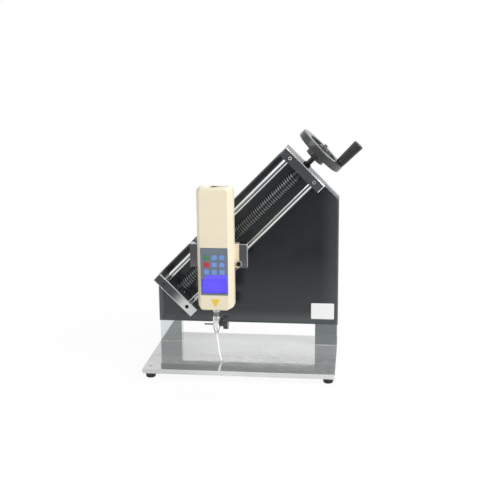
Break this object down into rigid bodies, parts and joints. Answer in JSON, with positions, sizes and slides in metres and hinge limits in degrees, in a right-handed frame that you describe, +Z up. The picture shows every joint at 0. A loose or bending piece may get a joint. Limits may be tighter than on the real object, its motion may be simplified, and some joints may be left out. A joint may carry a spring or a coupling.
{
  "type": "inclined pull force tester",
  "caption": "Manual inclined pull tester: polished base on rubber feet, folded housing, screw stage with hand wheel, and an upright force gauge with a cord grip.",
  "frame": {"origin": "middle of the bounding box, on the surface that the feet stand on", "axes": "+X to the operator's right, up the inclined stage; +Y away from the operator; +Z up, square to the base plate's top"},
  "size_m": [0.3984, 0.224, 0.4494],
  "materials": {
    "polished_stainless": "mirror polished stainless steel",
    "rubber": "matt black rubber",
    "zinc_steel": "zinc plated fasteners",
    "black_paint": "gloss black paint",
    "plain_aluminium": "milled",
    "black_anodised": "black anodised, worn at the edges",
    "ground_rod": "ground and chromed",
    "screw_steel": "oiled steel",
    "bearing_steel": "ground",
    "black_phenolic": "gloss black phenolic",
    "bronze": "machined bronze",
    "dark_oxide": "black oxide fasteners",
    "mount_steel": "polished stainless steel that mirrors the dark housing",
    "cream_plastic": "fine texture",
    "panel_film": "printed film",
    "key_green": "moulded",
    "key_red": "moulded",
    "key_blue": "moulded",
    "display_blue": "backlit display",
    "clear_window": "clear",
    "board": "solder mask",
    "cell_sleeve": "shrink sleeve",
    "black_plastic": "moulded",
    "white_cord": "braided"
  },
  "bodies": {
    "frame": {"base_plate": "polished_stainless", "rubber_feet": "rubber", "foot_screws": "zinc_steel", "left_leg": "polished_stainless", "right_leg": "polished_stainless", "leg_screws": "zinc_steel", "frame_plate": "plain_aluminium", "frame_screws": "zinc_steel", "housing_shell": "black_paint", "back_cover": "black_paint", "cover_spacers": "zinc_steel", "cover_screws": "zinc_steel", "upper_end_block": "black_anodised", "lower_end_block": "black_anodised", "block_bolts": "dark_oxide", "upper_guide_rod": "ground_rod", "lower_guide_rod": "ground_rod", "rod_set_screws": "zinc_steel", "ball_bearings": "bearing_steel"},
    "screw": {"bearing_inner_rings": "bearing_steel", "lead_screw": "screw_steel", "shaft_collar": "dark_oxide", "hand_wheel": "black_phenolic", "wheel_key": "zinc_steel", "wheel_nut": "ground_rod", "crank_pin": "zinc_steel"},
    "crank": {"crank_handle": "black_phenolic"},
    "carriage": {"carriage_block": "plain_aluminium", "linear_bushes": "bearing_steel", "lead_nut": "bronze", "nut_screws": "dark_oxide", "mount_plate": "mount_steel", "mount_screws": "dark_oxide", "lock_screw": "dark_oxide", "gauge_front_shell": "cream_plastic", "gauge_rear_shell": "cream_plastic", "gauge_screws": "zinc_steel", "keypad_panel": "panel_film", "display_window": "clear_window", "display_module": "display_blue", "circuit_board": "board", "battery_pack": "cell_sleeve", "load_cell": "plain_aluminium", "cell_screws": "zinc_steel", "load_shaft": "ground_rod", "data_socket": "black_plastic", "grip_body": "ground_rod", "side_bar": "ground_rod", "pull_cord": "white_cord"},
    "pad": {"clamp_pad": "ground_rod"},
    "knob": {"clamp_knob": "black_phenolic"},
    "key1_body": {"key_1": "key_green"},
    "key2_body": {"key_2": "key_blue"},
    "key3_body": {"key_3": "key_blue"},
    "key4_body": {"key_4": "key_red"},
    "key5_body": {"key_5": "key_blue"},
    "key6_body": {"key_6": "key_blue"},
    "key7_body": {"key_7": "key_blue"},
    "key8_body": {"key_8": "key_blue"},
    "key9_body": {"key_9": "key_blue"}
  },
  "joints": [
    {"name": "screw_spin", "type": "hinge", "parent": "frame", "child": "screw", "pos_m": [0.08216, 0.022, 0.36957], "axis": [0.7071, 0, 0.7071], "range_deg": [-13393, 4465]},
    {"name": "carriage_slide", "type": "slide", "parent": "frame", "child": "carriage", "axis": [0.7071, 0, 0.7071], "range_m": [-0.062, 0.186], "deforming": ["pull_cord"]},
    {"name": "crank_spin", "type": "hinge", "parent": "screw", "child": "crank", "pos_m": [0.15662, 0.022, 0.38604], "axis": [0.7071, 0, 0.7071], "continuous": true},
    {"name": "clamp_slide", "type": "slide", "parent": "carriage", "child": "pad", "axis": [1, 0, 0], "range_m": [0, 0.00175]},
    {"name": "clamp_turn", "type": "hinge", "parent": "pad", "child": "knob", "pos_m": [-0.06916, -0.041, 0.09224], "axis": [1, 0, 0], "range_deg": [0, 901]},
    {"name": "key1_press", "type": "slide", "parent": "carriage", "child": "key1_body", "axis": [0, 1, 0], "range_m": [0, 0.0005], "stiffness_N_per_m": 400},
    {"name": "key2_press", "type": "slide", "parent": "carriage", "child": "key2_body", "axis": [0, 1, 0], "range_m": [0, 0.0005], "stiffness_N_per_m": 400},
    {"name": "key3_press", "type": "slide", "parent": "carriage", "child": "key3_body", "axis": [0, 1, 0], "range_m": [0, 0.0005], "stiffness_N_per_m": 400},
    {"name": "key4_press", "type": "slide", "parent": "carriage", "child": "key4_body", "axis": [0, 1, 0], "range_m": [0, 0.0005], "stiffness_N_per_m": 400},
    {"name": "key5_press", "type": "slide", "parent": "carriage", "child": "key5_body", "axis": [0, 1, 0], "range_m": [0, 0.0005], "stiffness_N_per_m": 400},
    {"name": "key6_press", "type": "slide", "parent": "carriage", "child": "key6_body", "axis": [0, 1, 0], "range_m": [0, 0.0005], "stiffness_N_per_m": 400},
    {"name": "key7_press", "type": "slide", "parent": "carriage", "child": "key7_body", "axis": [0, 1, 0], "range_m": [0, 0.0005], "stiffness_N_per_m": 400},
    {"name": "key8_press", "type": "slide", "parent": "carriage", "child": "key8_body", "axis": [0, 1, 0], "range_m": [0, 0.0005], "stiffness_N_per_m": 400},
    {"name": "key9_press", "type": "slide", "parent": "carriage", "child": "key9_body", "axis": [0, 1, 0], "range_m": [0, 0.0005], "stiffness_N_per_m": 400}
  ],
  "couplings": [
    {"joint": "screw_spin", "follows": "carriage_slide", "rad_per_m": -1256.6},
    {"joint": "clamp_turn", "follows": "clamp_slide", "rad_per_m": 8976}
  ]
}
